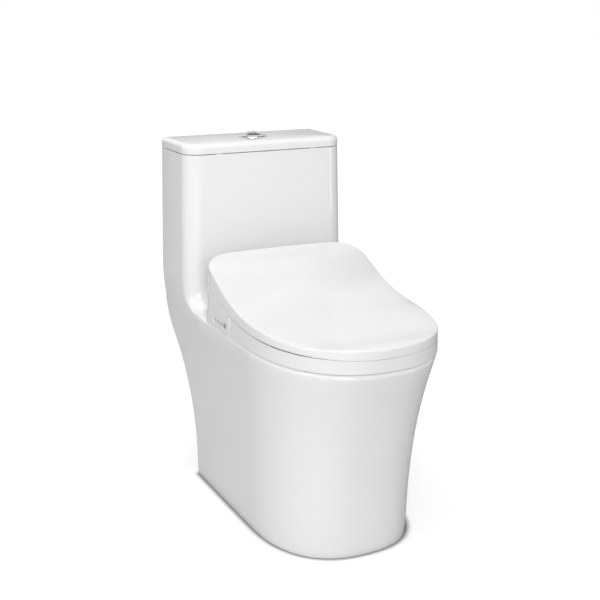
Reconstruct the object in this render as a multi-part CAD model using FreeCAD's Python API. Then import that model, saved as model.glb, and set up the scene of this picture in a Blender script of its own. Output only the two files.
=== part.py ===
import FreeCAD, Part
import math
import os

# One-piece toilet with a heated washlet seat. Millimetres; origin on the floor under the middle of
# the overall box, +Z up, -Y to the front, +Y to the wall.

V = FreeCAD.Vector

# ---- Ceramic body ----
front_y = -350.0            # nose of the rim
back_y = 350.0              # wall side of the tank
rim_z = 402.0               # top of the rim
rim_half = 184.4            # half width of the rim
rim_shoulder_y = -98.0      # where the rim's straight sides begin to round to the nose
rim_power = 2.35            # superellipse power of the rim's nose
rim_edge_radius = 8.0
foot_half = 158.0           # half width of the skirt on the floor
foot_front_y = -266.0
foot_shoulder_y = -58.0
foot_power = 2.47
foot_back_y = 237.0
flare_linear = 0.12         # share of the flare that grows evenly with height
flare_power = 2.4           # the rest grows with this power
nose_points = 15
wall = 14.0                 # skirt wall
deck_thickness = 17.0
tank_top_z = 735.0
tank_floor_top_z = 412.0
tank_floor_thickness = 12.0
tank_half_top = 183.5
tank_half_low = 190.0
tank_low_z = 478.0          # where the side stops widening
tank_front_y = 187.0
tank_wall = 11.0
tank_corner = 37.0
tank_back_corner = 8.0
tank_foot_radius = 45.0     # concave sweep from the tank's front to the deck
tank_join = 0.4             # how far the tank's root sinks into the skirt
tank_proud = 0.3            # how far its side stands proud of the rim where the two blend
tank_root_depth = 60.0
root_steps = 3
sweep_steps = 9

# ---- Bowl and trapway ----
bowl_y = -150.0
bowl_half = 116.0
bowl_reach = 150.0
bowl_wall = 13.0
bowl_bottom_z = 140.0
bowl_bottom_y = -114.0
bowl_bottom_half = 36.0
bowl_bottom_reach = 40.0
bowl_edge_radius = 7.0
trap_bore = 26.0
trap_wall = 11.0
trap_weir_z = 215.0
trap_dip_z = 120.0
outlet_y = 45.0
outlet_bore = 45.0
outlet_wall = 8.0
outlet_depth = 30.0
spigot_radius = 52.0        # free end of the outlet horn, below its seal
spigot_length = 18.0
seal_height = 16.0
channel_half = 50.0         # water way from the tank to the bowl
channel_floor_z = 355.0
channel_wall = 10.0
channel_back_y = 318.0

# ---- Tank lid and flush buttons ----
lid_seam = 1.6
tank_lid_top_z = 758.0
tank_lid_edge = 10.0
tank_lid_plate = 12.0
tank_lid_lip_depth = 14.0
tank_lid_lip_wall = 6.0
lip_clearance = 2.5
lid_pad_half = 7.0
flush_y = 268.0
bezel_radius = 31.5
bezel_rise = 3.0
button_radius = 22.0
button_top_z = tank_lid_top_z + 12.0
button_gap = 1.2
button_clearance = 0.6
button_skirt = 12.0
sleeve_wall = 2.6
sleeve_length = 34.0
sleeve_nut_radius = 31.0
sleeve_nut_height = 7.0
rod_radius = 3.5
rod_offset = 10.0
rod_bottom_z = 622.0

# ---- Flush valve ----
valve_flange_radius = 46.0
valve_shank_radius = 36.0
valve_bore = 30.0
valve_shank_depth = 24.0
valve_hole_clearance = 1.5
gasket_thickness = 3.0
flange_thickness = 6.0
seat_lip_height = 4.0
seat_lip_wall = 3.0
post_count = 4
post_width = 9.0
post_depth = 5.0
post_radius = 41.0
head_bottom_z = 570.0
head_top_z = 640.0
head_radius = 46.0
head_rod_bore_clearance = 0.6
canister_radius = 17.0
canister_wall = 2.2
canister_disc_radius = 33.5
canister_disc_thickness = 4.0
canister_top_z = 592.0
canister_lift = 20.0
canister_clearance = 0.6
seal_thickness = 3.0
nut_height = 10.0
nut_lugs = 6

# ---- Fill valve ----
fill_x = -120.0
fill_y = 300.0
fill_column_radius = 13.0
fill_shank_radius = 10.3
fill_neck_radius = 10.0      # plain neck above the supply thread
fill_thread_length = 36.0
fill_shank_bottom_z = 352.0
fill_column_top_z = 628.0
fill_cap_radius = 27.0
fill_cap_height = 30.0
float_radius = 32.0
float_height = 70.0
float_low_z = 480.0
float_clearance = 0.8
float_wall = 3.0
hose_radius = 5.0
hose_bore = 3.2

# ---- Seat unit: seat ring, lid and housing share one outline ----
unit_low_z = 400.0
unit_high_z = 546.0
unit_rear_low_y = 145.0
unit_rear_high_y = 132.0
unit_corner = 60.0
unit_draft = 5.0            # how far each side leans in up to the unit's top
ring_bottom_z = 404.5
seam_gap = 1.4
ring_rear_y = -31.0
ring_dish = 9.0
opening_y = -175.0
opening_half = 100.0
opening_reach = 113.0
ring_wall = 4.0
ring_floor = 3.0
arch_half = 96.0
arch_top_z = 420.0
lid_wall = 3.5
lid_panel = 4.0
lid_edge_radius = 3.0
lid_rear_lip_z = 508.0
hinge_y = 100.0
hinge_z = 480.0
pin_radius = 5.0
pin_clearance = 0.08
side_gap = 0.6
panel_depth = 13.8          # side panels, measured in from the rim's width
panel_inner = rim_half - panel_depth
ear_width = 3.4
ear_outer = panel_inner - side_gap
ear_inner = ear_outer - ear_width
ear_boss = 9.0
arm_width = 15.6
arm_outer = ear_inner - side_gap
arm_inner = arm_outer - arm_width
arm_boss = 12.0
dome_half = arm_inner - 2.4
drum_radius = 36.0
housing_front_y = -28.0
housing_bottom_z = 403.5
ledge_z = 430.0
housing_wall = 3.0
panel_front_y = -29.4
panel_rear_y = 96.0
bead_y = -25.0
bead_radius = 3.6
bead_proud = 1.4
recess_depth = 0.7
recess_low_z = 412.2
recess_high_z = 427.6
recess_front_y = -13.0
recess_rear_y = 56.0
key_z = 420.0
key_rows = [("key_stop", -3.0, 4.2, 5.2), ("key_rear_wash", 14.6, 2.4, 3.6),
            ("key_front_wash", 30.4, 2.4, 3.6), ("key_dryer", 46.3, 2.4, 3.6)]
key_stem = 8.0
key_clearance = 0.35

# ---- Washing, drying and electrics ----
wand_radius = 7.0
wand_length = 128.0
wand_x = 15.0
wand_clearance = 0.5
wand_slope = 25.0           # degrees below level
wand_rim_z = 424.0          # height of the wand's axis over y = 0
wand_tip_y = -16.0
guide_half = 31.0
guide_depth = 24.0
plate_half = 95.0
plate_thickness = 4.0
plate_front_y = 30.0
plate_rear_y = 104.0
bolt_x = 78.0
bolt_y = 62.0
bolt_radius = 4.0
bolt_head_radius = 9.0
bolt_head_height = 3.6
bush_radius = 8.6
bolt_bottom_z = 350.0
recess_ceiling_z = 411.2    # underside of the housing floor over the mounting plate
recess_roof = 2.0
heater_height = 30.0
board_standoff = 4.0
fan_x = 96.0
fan_y = 66.0
fan_radius = 34.0
fan_height = 32.0
inner_seat = 0.3            # how far the inner units stand off what carries them
impeller_radius = 29.0
impeller_blades = 14
duct_low_x = 42.0
duct_high_x = 84.0
duct_bottom_z = 407.5
duct_top_z = 424.0
duct_wall = 1.6
flap_thickness = 1.6
stub_y = 127.0
stub_z = 418.5
stub_flange = 1.2
stub_radius = 10.3
stub_bore = 6.0
stub_end_x = rim_half + 5.1
stub_length = 56.5
stub_neck_radius = 10.0     # plain neck behind the thread
stub_thread_length = 12.0
gland_y = 106.0
gland_radius = 6.5
gland_bore = 3.3
gland_length = 30.0
gland_outer_x = rim_half + 3.6
release_y = 62.0
release_z = 414.0
release_half = 11.0
release_height = 8.0
release_travel = 3.0

os.makedirs("parts", exist_ok=True)


# ---- Small helpers ----
def save(name, shape):
    shape.exportStep("parts/" + name + ".step")
    print(f"{name:24s} solids {len(shape.Solids)} volume {shape.Volume / 1000:9.2f} cm3 valid {shape.isValid()}")


def box(x0, x1, y0, y1, z0, z1):
    return Part.makeBox(x1 - x0, y1 - y0, z1 - z0, V(x0, y0, z0))


def upright(radius, z0, z1, x=0.0, y=0.0):
    return Part.makeCylinder(radius, z1 - z0, V(x, y, z0))


def crosswise(radius, x0, x1, y, z):
    return Part.makeCylinder(radius, x1 - x0, V(x0, y, z), V(1, 0, 0))


def ring(outer, inner, z0, z1, x=0.0, y=0.0):
    return upright(outer, z0, z1, x, y).cut(upright(inner, z0 - 1, z1 + 1, x, y))


def polygon_prism(points, x0, x1):
    corners = [V(x0, y, z) for y, z in points]
    face = Part.Face(Part.makePolygon(corners + corners[:1]))
    return face.extrude(V(x1 - x0, 0, 0))


def turned(points, x=0.0, y=0.0):
    corners = [V(x + r, y, z) for r, z in points]
    face = Part.Face(Part.makePolygon(corners + corners[:1]))
    return face.revolve(V(x, y, 0), V(0, 0, 1), 360)


def smooth_curve(points, start=None, end=None):
    curve = Part.BSplineCurve()
    if start is None:
        curve.interpolate(Points=points)
    else:
        curve.interpolate(Points=points, InitialTangent=start, FinalTangent=end)
    return curve.toShape()


def oval_wire(half, reach, y, z):
    if half >= reach:
        ellipse = Part.Ellipse(V(0, y, z), half, reach)
    else:
        ellipse = Part.Ellipse(V(0, y + reach, z), V(half, y, z), V(0, y, z))
    return Part.Wire([ellipse.toShape()])


def quarter(start, end, centre):
    middle = (start + end) * 0.5 - centre
    radius = (start - centre).Length
    return Part.Arc(start, centre + middle.normalize() * radius, end).toShape()


# ---- Outlines ----
def plan_wire(z, half, nose_y, shoulder, power, rear, corner=0.0):
    nose = []
    for i in range(nose_points):
        turn = math.pi * i / (nose_points - 1)
        across = -math.copysign(abs(math.cos(turn)) ** (2 / power), math.cos(turn))
        along = math.sin(turn) ** (2 / power)
        nose.append(V(across * half, shoulder - (shoulder - nose_y) * along, z))
    edges = [smooth_curve(nose, V(0, -1, 0), V(0, 1, 0))]
    left = V(-half, rear - corner, z)
    right = V(half, rear - corner, z)
    edges.insert(0, Part.makeLine(left, nose[0]))
    edges.append(Part.makeLine(nose[-1], right))
    if corner:
        low_right = V(half - corner, rear, z)
        low_left = V(corner - half, rear, z)
        edges.append(quarter(right, low_right, V(half - corner, rear - corner, z)))
        edges.append(Part.makeLine(low_right, low_left))
        edges.append(quarter(low_left, left, V(corner - half, rear - corner, z)))
    else:
        edges.append(Part.makeLine(right, left))
    return Part.Wire(edges)


def rounded_rectangle(z, half, y0, y1, front_corner, rear_corner):
    a, b = front_corner, rear_corner
    p = [V(-half + b, y1, z), V(-half, y1 - b, z), V(-half, y0 + a, z), V(-half + a, y0, z)]
    q = [V(-v.x, v.y, z) for v in reversed(p)]
    edges = [quarter(p[0], p[1], V(-half + b, y1 - b, z)), Part.makeLine(p[1], p[2])]
    edges += [quarter(p[2], p[3], V(-half + a, y0 + a, z)), Part.makeLine(p[3], q[0])]
    edges += [quarter(q[0], q[1], V(half - a, y0 + a, z)), Part.makeLine(q[1], q[2])]
    edges += [quarter(q[2], q[3], V(half - b, y1 - b, z)), Part.makeLine(q[3], p[0])]
    return Part.Wire(edges)


def flare(z):
    u = max(0.0, z) / rim_z
    return flare_linear * u + (1 - flare_linear) * u ** flare_power


def skirt_section(z, inset=0.0, rear=back_y + 50):
    s = flare(z)
    half = skirt_half(z) - inset
    nose_y = foot_front_y + (front_y - foot_front_y) * s + inset
    shoulder = foot_shoulder_y + (rim_shoulder_y - foot_shoulder_y) * s
    return plan_wire(z, half, nose_y, shoulder, foot_power + (rim_power - foot_power) * s, rear)


def back_sweep():
    # concave foot of the back that swells out to the tank
    foot = V(0, foot_back_y, 0)
    points = [foot, V(0, foot_back_y + 4, 100), V(0, 262, 190), V(0, 289, 254)]
    points += [V(0, 319, 303), V(0, back_y, rim_z - 20)]
    curve = smooth_curve(points, V(0, 0, 1), V(0, 0, 1))
    low, high, far = -5.0, tank_top_z + 5, front_y - 50
    outline = [points[-1], V(0, back_y, high), V(0, far, high), V(0, far, low), V(0, foot_back_y, low), foot]
    edges = [curve] + [Part.makeLine(a, b) for a, b in zip(outline, outline[1:])]
    prism = Part.Face(Part.Wire(edges)).extrude(V(2 * rim_half + 80, 0, 0))
    prism.translate(V(-rim_half - 40, 0, 0))
    return prism


def skirt_half(z):
    return foot_half + (rim_half - foot_half) * flare(z)


def tank_half(z):
    # the side carries on widening from the rim, ever more slowly, and then tapers to the top
    if z >= tank_low_z:
        return tank_half_low - (tank_half_low - tank_half_top) * (z - tank_low_z) / (tank_top_z - tank_low_z)
    if z <= rim_z:
        return skirt_half(z)
    left = (tank_low_z - z) / (tank_low_z - rim_z)
    return tank_half_low - (tank_half_low - rim_half - tank_proud) * left ** 2


def tank_block():
    # tapering tank on a foot that sweeps out to the deck, its front corners tightening to the rim's edge
    sections = []
    for i in range(root_steps + 1):
        share = i / root_steps
        z = rim_z - tank_join - tank_root_depth * (1 - share)
        half = skirt_half(z) - tank_join + (tank_join + tank_proud) * share
        sections.append(rounded_rectangle(z, half, tank_front_y - tank_foot_radius, back_y,
                                          rim_edge_radius, tank_back_corner))
    for i in range(1, sweep_steps + 1):
        turn = math.pi / 2 * i / sweep_steps
        share = 1 - math.sin(turn)
        z = rim_z - tank_join + tank_foot_radius * (1 - math.cos(turn))
        corner = tank_corner + (rim_edge_radius - tank_corner) * share ** 1.5
        sections.append(rounded_rectangle(z, tank_half(z), tank_front_y - tank_foot_radius * share, back_y,
                                          corner, tank_back_corner))
    for i in range(root_steps):
        z = rim_z + tank_foot_radius + (tank_low_z - rim_z - tank_foot_radius) * (i + 1) / root_steps
        sections.append(rounded_rectangle(z, tank_half(z), tank_front_y, back_y, tank_corner, tank_back_corner))
    sections.append(rounded_rectangle(tank_top_z, tank_half_top, tank_front_y, back_y, tank_corner, tank_back_corner))
    return Part.makeLoft(sections, True, True)


def rounded_path(points, radius):
    edges = []
    last = points[0]
    for before, corner, after in zip(points, points[1:], points[2:]):
        a = (before - corner).normalize()
        b = (after - corner).normalize()
        half_turn = (math.pi - a.getAngle(b)) / 2
        tangent = radius * math.tan(half_turn)
        start = corner + a * tangent
        end = corner + b * tangent
        centre = corner + (a + b).normalize() * (radius / math.cos(half_turn))
        middle = centre + (corner - centre).normalize() * radius
        edges.append(Part.makeLine(last, start))
        edges.append(Part.Arc(start, middle, end).toShape())
        last = end
    edges.append(Part.makeLine(last, points[-1]))
    return Part.Wire(edges)


def pipe(path, radius):
    start = path.Edges[0]
    spot = start.valueAt(start.FirstParameter)
    circle = Part.Wire([Part.makeCircle(radius, spot, start.tangentAt(start.FirstParameter))])
    return path.makePipeShell([circle], True, True)


# ---- Ceramic body ----
def trap_path():
    points = [V(0, bowl_bottom_y - 4, bowl_bottom_z + 28), V(0, -70, trap_dip_z), V(0, -22, trap_weir_z)]
    points += [V(0, outlet_y, trap_weir_z), V(0, outlet_y, 0)]
    return rounded_path(points, trap_bore + trap_wall + 3)


def bowl_loft(grow):
    levels = [(rim_z + 1, 1.0), (370, 0.99), (300, 0.90), (240, 0.68), (195, 0.36), (160, 0.11), (bowl_bottom_z, 0)]
    sections = []
    for z, share in levels:
        half = bowl_bottom_half + (bowl_half - bowl_bottom_half) * share + grow
        reach = bowl_bottom_reach + (bowl_reach - bowl_bottom_reach) * share + grow
        y = bowl_bottom_y + (bowl_y - bowl_bottom_y) * share
        low = grow if z == bowl_bottom_z else 0.0
        sections.append(oval_wire(half, reach, y, z - low))
    return Part.makeLoft(sections, True, False)


def ceramic_body():
    bowl_block = Part.makeLoft([skirt_section(z) for z in (0, 100, 200, 270, 335, 375, rim_z)], True, False)
    bowl_block = bowl_block.common(back_sweep())
    nose = [e for e in bowl_block.Edges if abs(e.BoundBox.ZMin - rim_z) < 0.01 and e.BoundBox.YMin < back_y - 1]
    nose = [e for e in nose if e.BoundBox.ZLength < 0.01]
    bowl_block = bowl_block.makeFillet(rim_edge_radius, nose)
    body = bowl_block.fuse(tank_block().common(back_sweep()))
    # the hollow inside the skirt, open to the floor and to the wall
    hollow_top = rim_z - deck_thickness
    inside = Part.makeLoft([skirt_section(z, wall, back_y + 60) for z in (-1, 100, 200, 270, 335, hollow_top)], True, False)
    under_tank = rounded_rectangle(hollow_top - 1, tank_half_low - wall, tank_front_y, back_y + 60, 20, 5)
    bay_height = tank_floor_top_z - tank_floor_thickness - hollow_top + 1
    inside = inside.fuse(Part.Face(under_tank).extrude(V(0, 0, bay_height)))
    kept = bowl_loft(bowl_wall)
    kept = kept.fuse(pipe(trap_path(), trap_bore + trap_wall))
    kept = kept.fuse(upright(outlet_bore + outlet_wall, spigot_length, outlet_depth + outlet_wall, 0, outlet_y))
    kept = kept.fuse(upright(spigot_radius, 0, spigot_length, 0, outlet_y))
    shell = channel_wall
    kept = kept.fuse(box(-channel_half - shell, channel_half + shell, bowl_y + bowl_reach - 30, channel_back_y + shell,
                         channel_floor_z - shell, rim_z))
    body = body.cut(inside.cut(kept))
    # wet passages
    body = body.cut(bowl_loft(0.0))
    body = body.cut(pipe(trap_path(), trap_bore))
    body = body.cut(upright(outlet_bore, -1, outlet_depth, 0, outlet_y))
    low_top = hollow_top
    body = body.cut(box(-channel_half, channel_half, bowl_y + bowl_reach - 12, channel_back_y, channel_floor_z, low_top))
    high_top = tank_floor_top_z - tank_floor_thickness
    body = body.cut(box(-channel_half, channel_half, flush_y - channel_half, channel_back_y, low_top - 1, high_top))
    # tank
    cavity = []
    for z in (tank_floor_top_z, 500.0, 600.0, tank_top_z + 1):
        cavity.append(rounded_rectangle(z, tank_half(z) - tank_wall, tank_front_y + tank_wall, back_y - tank_wall,
                                        tank_corner - tank_wall, tank_back_corner))
    body = body.cut(Part.makeLoft(cavity, True, False))
    floor = (high_top - 30, tank_floor_top_z + 1)
    body = body.cut(upright(valve_shank_radius + valve_hole_clearance, *floor, 0, flush_y))
    body = body.cut(upright(fill_shank_radius + valve_hole_clearance, *floor, fill_x, fill_y))
    for side in (-1, 1):
        body = body.cut(upright(bush_radius + 0.2, rim_z - deck_thickness - 20, rim_z + 1, side * bolt_x, bolt_y))
    oval = [e for e in body.Edges if e.BoundBox.ZLength < 0.01 and abs(e.BoundBox.ZMin - rim_z) < 0.01]
    oval = [e for e in oval if abs(e.BoundBox.YLength - 2 * bowl_reach) < 2]
    return body.makeFillet(bowl_edge_radius, oval)


# ---- Tank lid and flush buttons ----
def tank_lid():
    low = tank_top_z + lid_seam
    half = tank_half(tank_top_z)
    block = Part.Face(rounded_rectangle(low, half, tank_front_y, back_y, tank_corner, tank_back_corner))
    block = block.extrude(V(0, 0, tank_lid_top_z - low))
    top = [e for e in block.Edges if abs(e.BoundBox.ZMin - tank_lid_top_z) < 0.01]
    block = block.makeFillet(tank_lid_edge, top)
    inset = tank_wall
    recess = Part.Face(rounded_rectangle(low - 1, half - inset, tank_front_y + inset, back_y - inset,
                                         tank_corner - inset, tank_back_corner))
    block = block.cut(recess.extrude(V(0, 0, tank_lid_top_z - tank_lid_plate - low + 1)))
    outer = tank_wall + lip_clearance
    inner = outer + tank_lid_lip_wall
    lip_bottom = tank_top_z - tank_lid_lip_depth
    height = tank_lid_top_z - tank_lid_plate - lip_bottom + 1
    lip = Part.Face(rounded_rectangle(lip_bottom, half - outer, tank_front_y + outer, back_y - outer, 22, 6))
    bore = Part.Face(rounded_rectangle(lip_bottom, half - inner, tank_front_y + inner, back_y - inner, 17, 5))
    block = block.fuse(lip.extrude(V(0, 0, height)).cut(bore.extrude(V(0, 0, height))))
    ledge = box(-half + 2, half - 2, tank_front_y + inset - 1, tank_front_y + outer + 1, low, low + 4)
    block = block.fuse(ledge.common(box(-120, 120, 0, 400, 0, 800)))
    hole = button_radius + button_clearance + sleeve_wall + 0.6
    return block.cut(upright(hole, low - 30, tank_lid_top_z + 1, 0, flush_y))


def tank_lid_pads():
    half = tank_half(tank_top_z)
    y0, y1 = tank_front_y + tank_wall / 2, back_y - tank_wall / 2
    pads = []
    for x in (-half * 0.6, half * 0.6):
        for y in (y0, y1):
            pads.append(box(x - lid_pad_half, x + lid_pad_half, y - 3, y + 3, tank_top_z, tank_top_z + lid_seam))
    return Part.Compound(pads)


def button_bezel():
    r0 = button_radius + button_clearance
    r1 = r0 + sleeve_wall
    z = tank_lid_top_z
    points = [(r0, z - sleeve_length), (r1, z - sleeve_length), (r1, z), (bezel_radius, z)]
    points += [(bezel_radius, z + 1), (bezel_radius - 2, z + bezel_rise), (r0 + 1, z + bezel_rise + 1.6)]
    points += [(r0, z + bezel_rise + 1)]
    return turned(points, 0, flush_y)


def bezel_nut():
    inner = button_radius + button_clearance + sleeve_wall + 0.1
    top = tank_lid_top_z - tank_lid_plate
    nut = ring(sleeve_nut_radius, inner, top - sleeve_nut_height, top, 0, flush_y)
    for i in range(8):
        angle = math.radians(45 * i)
        x, y = sleeve_nut_radius * math.cos(angle), sleeve_nut_radius * math.sin(angle)
        nut = nut.cut(upright(3.0, top - sleeve_nut_height - 1, top + 1, x, flush_y + y))
    return nut


def button_body():
    base = tank_lid_top_z - button_skirt
    shoulder = tank_lid_top_z + bezel_rise + 1.0
    rise = button_top_z - shoulder
    crown = (button_radius ** 2 + rise ** 2) / (2 * rise)
    edges = [Part.makeLine(V(0, 0, base), V(button_radius, 0, base))]
    edges.append(Part.makeLine(V(button_radius, 0, base), V(button_radius, 0, shoulder)))
    mid_angle = math.asin(button_radius / crown) / 2
    middle = V(crown * math.sin(mid_angle), 0, button_top_z - crown + crown * math.cos(mid_angle))
    edges.append(Part.Arc(V(button_radius, 0, shoulder), middle, V(0, 0, button_top_z)).toShape())
    edges.append(Part.makeLine(V(0, 0, button_top_z), V(0, 0, base)))
    body = Part.Face(Part.Wire(edges)).revolve(V(0, 0, 0), V(0, 0, 1), 360)
    body.translate(V(0, flush_y, 0))
    return body


def flush_button(side):
    reach = button_radius + 5
    low = tank_lid_top_z - 60
    x0, x1 = sorted((side * button_gap / 2, side * reach))
    half = button_body().common(box(x0, x1, flush_y - reach, flush_y + reach, low, button_top_z + 5))
    return half


def push_rod(side):
    top = tank_lid_top_z - button_skirt
    x = side * rod_offset
    rod = upright(rod_radius, rod_bottom_z, top, x, flush_y)
    return rod.fuse(upright(rod_radius + 2.5, top - 5, top, x, flush_y))


# ---- Flush valve ----
def valve_seat_z():
    return tank_floor_top_z + gasket_thickness + flange_thickness


def flush_valve_body():
    floor = tank_floor_top_z
    bottom = floor - valve_shank_depth
    deck = floor + gasket_thickness
    top = valve_seat_z()
    points = [(valve_bore, bottom), (valve_shank_radius, bottom), (valve_shank_radius, deck)]
    points += [(valve_flange_radius, deck), (valve_flange_radius, top), (valve_bore + seat_lip_wall, top)]
    points += [(valve_bore + 1, top + seat_lip_height), (valve_bore, top + seat_lip_height)]
    body = turned(points, 0, flush_y)
    for i in range(post_count):
        post = box(post_radius - post_depth / 2, post_radius + post_depth / 2, -post_width / 2, post_width / 2,
                   top - 1, head_bottom_z)
        post.rotate(V(0, 0, 0), V(0, 0, 1), 45 + 360 * i / post_count)
        post.translate(V(0, flush_y, 0))
        body = body.fuse(post)
    return body.removeSplitter()


def flush_valve_gasket():
    low = tank_floor_top_z
    return ring(valve_flange_radius + 1, valve_shank_radius + 0.3, low, low + gasket_thickness, 0, flush_y)


def flush_valve_nut():
    top = tank_floor_top_z - tank_floor_thickness
    inner = valve_shank_radius + 0.1
    nut = ring(inner + 7, inner, top - nut_height, top, 0, flush_y)
    for i in range(nut_lugs):
        lug = box(inner + 5, inner + 11, -3, 3, top - nut_height, top)
        lug.rotate(V(0, 0, 0), V(0, 0, 1), 360 * i / nut_lugs)
        lug.translate(V(0, flush_y, 0))
        nut = nut.fuse(lug)
    return nut


def flush_valve_head():
    guide = canister_radius + canister_clearance
    room = canister_top_z + canister_lift + 4
    head = upright(head_radius, head_bottom_z, head_top_z, 0, flush_y)
    rim = [e for e in head.Edges if abs(e.BoundBox.ZMin - head_top_z) < 0.01]
    head = head.makeFillet(6, rim)
    head = head.cut(upright(guide, head_bottom_z - 1, room, 0, flush_y))
    for side in (-1, 1):
        bore = rod_radius + head_rod_bore_clearance
        head = head.cut(upright(bore, room - 1, head_top_z + 1, side * rod_offset, flush_y))
    return head


def flush_canister():
    low = valve_seat_z() + seat_lip_height + seal_thickness + 0.2
    disc_top = low + canister_disc_thickness
    inner = canister_radius - canister_wall
    points = [(inner, low), (canister_disc_radius, low), (canister_disc_radius, disc_top - 1)]
    points += [(canister_radius + 6, disc_top), (canister_radius, disc_top + 8), (canister_radius, canister_top_z)]
    points += [(inner, canister_top_z)]
    return turned(points, 0, flush_y)


def flush_seal():
    low = valve_seat_z() + seat_lip_height + 0.2
    inner = canister_radius - canister_wall
    return ring(canister_disc_radius + 1, inner, low, low + seal_thickness, 0, flush_y)


# ---- Fill valve ----
def fill_valve():
    floor = tank_floor_top_z
    thread_top = fill_shank_bottom_z + fill_thread_length
    points = [(3.5, fill_shank_bottom_z), (fill_shank_radius, fill_shank_bottom_z), (fill_shank_radius, thread_top)]
    points += [(fill_neck_radius, thread_top), (fill_neck_radius, floor + 2)]
    points += [(20, floor + 2), (20, floor + 8), (fill_column_radius, floor + 10)]
    points += [(fill_column_radius, fill_column_top_z), (3.5, fill_column_top_z)]
    return turned(points, fill_x, fill_y)


def fill_valve_gasket():
    low = tank_floor_top_z
    return ring(19, fill_shank_radius + 0.2, low, low + 2, fill_x, fill_y)


def fill_valve_nut():
    top = tank_floor_top_z - tank_floor_thickness
    nut = Part.Face(Part.makePolygon([V(fill_x + 19 * math.cos(math.radians(60 * i)),
                                        fill_y + 19 * math.sin(math.radians(60 * i)), top - 9) for i in range(7)]))
    nut = nut.extrude(V(0, 0, 9))
    return nut.cut(upright(fill_shank_radius + 0.1, top - 12, top + 1, fill_x, fill_y))


def fill_valve_cap():
    low = fill_column_top_z
    cap = upright(fill_cap_radius, low, low + fill_cap_height, fill_x, fill_y)
    rim = [e for e in cap.Edges if abs(e.BoundBox.ZMin - low - fill_cap_height) < 0.01]
    cap = cap.makeFillet(5, rim)
    arm = box(fill_x + fill_cap_radius - 4, fill_x + fill_cap_radius + 8, fill_y - 7, fill_y + 7, low + 4, low + 18)
    spout_x = fill_x + fill_cap_radius + 4
    return cap.fuse(arm).cut(upright(2.0, low + 3, low + 12, spout_x, fill_y))


def fill_valve_float():
    inner = fill_column_radius + float_clearance
    outer = ring(float_radius, inner, float_low_z, float_low_z + float_height, fill_x, fill_y)
    room = ring(float_radius - float_wall, inner + float_wall, float_low_z - 1, float_low_z + float_height - float_wall,
                fill_x, fill_y)
    return outer.cut(room)


def refill_hose():
    x = fill_x + fill_cap_radius + 8
    z = fill_column_top_z + 11
    end_x, end_z = -head_radius - 0.3, head_top_z - 26
    points = [V(x, fill_y, z), V(x + 17, fill_y, z), V(end_x - 16, flush_y, end_z), V(end_x, flush_y, end_z)]
    path = rounded_path(points, 2.4 * hose_radius)
    return pipe(path, hose_radius).cut(pipe(path, hose_bore))


# ---- Seat unit surfaces ----
def unit_rear(z):
    return unit_rear_low_y + (unit_rear_high_y - unit_rear_low_y) * (z - unit_low_z) / (unit_high_z - unit_low_z)


def unit_half(z):
    return rim_half - unit_draft * (z - unit_low_z) / (unit_high_z - unit_low_z)


def unit_block(inset=0.0, low=unit_low_z, high=unit_high_z):
    sections = []
    for z in (low, high):
        sections.append(plan_wire(z, unit_half(z) - inset, front_y + inset, rim_shoulder_y, rim_power,
                                  unit_rear(z) - inset, unit_corner - inset))
    return Part.makeLoft(sections, True, True)


seam_line = [(-360, 429.0), (-200, 434.5), (-85, 439.0), (-30, 445.0), (20, 453.0), (66, 465.0), (97, 477.2)]
lid_edge_line = [(-360, 444.5), (-290, 445), (-230, 447), (-170, 451.5), (-110, 456), (-50, 465), (10, 484),
                 (70, 511), (140, 536)]
lid_crown_line = [445.0, 449.5, 456, 465, 473, 486, 507, 526, 541]


def below_seam(drop, x0=-200.0, x1=200.0):
    # everything under the seam line, lowered by drop
    points = [V(x0, y, z - drop) for y, z in seam_line]
    curve = smooth_curve(points)
    rear, low = points[-1], 380.0
    outline = [rear, V(x0, rear.y, low), V(x0, points[0].y, low), points[0]]
    edges = [curve] + [Part.makeLine(a, b) for a, b in zip(outline, outline[1:])]
    return Part.Face(Part.Wire(edges)).extrude(V(x1 - x0, 0, 0))


def crowned_surface(offset):
    # top of the lid: follows the edge line at the sides and the crown line along the middle
    half = 200.0
    columns = []
    for share in (-1.0, -0.5, 0.0, 0.5, 1.0):
        column = []
        for (y, edge), crown in zip(lid_edge_line, lid_crown_line):
            rise = (crown - edge) * (1 - (share * half / rim_half) ** 2)
            column.append(V(share * half, y, edge + rise + offset))
        columns.append(column)
    surface = Part.BSplineSurface()
    surface.interpolate(columns)
    return surface.toShape()


def under_crown(offset):
    return crowned_surface(offset).extrude(V(0, 0, -200))


def dished_surface(drop):
    # top of the seat ring: at the seam along the rim, hollowed towards the middle
    half = 200.0
    columns = []
    for share in (-1.0, -0.5, 0.0, 0.5, 1.0):
        dip = ring_dish * (1 - (share * half / rim_half) ** 2)
        column = []
        for y, z in seam_line[:5]:
            fade = math.sin(math.pi * min(1.0, max(0.0, (y - front_y) / (ring_rear_y - front_y))))
            column.append(V(share * half, y, z - drop - dip * fade))
        columns.append(column)
    surface = Part.BSplineSurface()
    surface.interpolate(columns)
    return surface.toShape()


def under_dish(drop):
    return dished_surface(drop).extrude(V(0, 0, -100))


def opening_block(grow, low, high, flare_out=0.0):
    lower = oval_wire(opening_half + grow + flare_out, opening_reach + grow + flare_out, opening_y, low)
    upper = oval_wire(opening_half + grow, opening_reach + grow, opening_y, high)
    return Part.makeLoft([lower, upper], True, True)


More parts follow.
